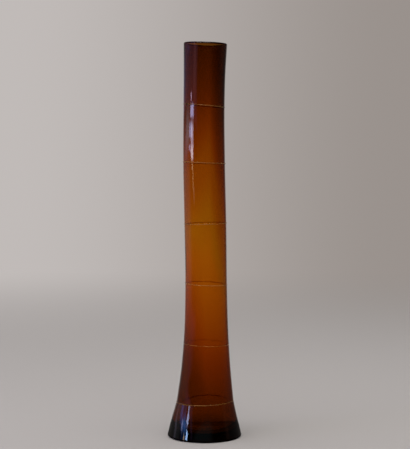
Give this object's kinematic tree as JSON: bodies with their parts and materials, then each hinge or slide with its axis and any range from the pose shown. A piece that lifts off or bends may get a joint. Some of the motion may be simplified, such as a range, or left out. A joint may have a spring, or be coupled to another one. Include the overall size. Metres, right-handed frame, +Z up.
{
  "type": "trumpet vase",
  "caption": "Tall slender hand-blown amber glass vase that flares to a heavy dark foot, with fine glass threads trailed round it; holds long stems.",
  "frame": {"origin": "centre of the foot, on the table", "axes": "+Z up along the neck to the mouth, -Y to the front of the picture, +X to its right"},
  "size_m": [0.0942, 0.0942, 0.5],
  "materials": {
    "amber_glass": "fire-polished clear amber glass, plum-brown at the lip, honey in the neck, near black in the heavy foot",
    "thread_glass": "paler amber glass thread, fused on, slightly matt"
  },
  "bodies": {
    "root": {"body": "amber_glass", "foot": "amber_glass", "thread_1": "thread_glass", "thread_2": "thread_glass", "thread_3": "thread_glass", "thread_4": "thread_glass", "thread_5": "thread_glass", "thread_6": "thread_glass"}
  },
  "joints": []
}
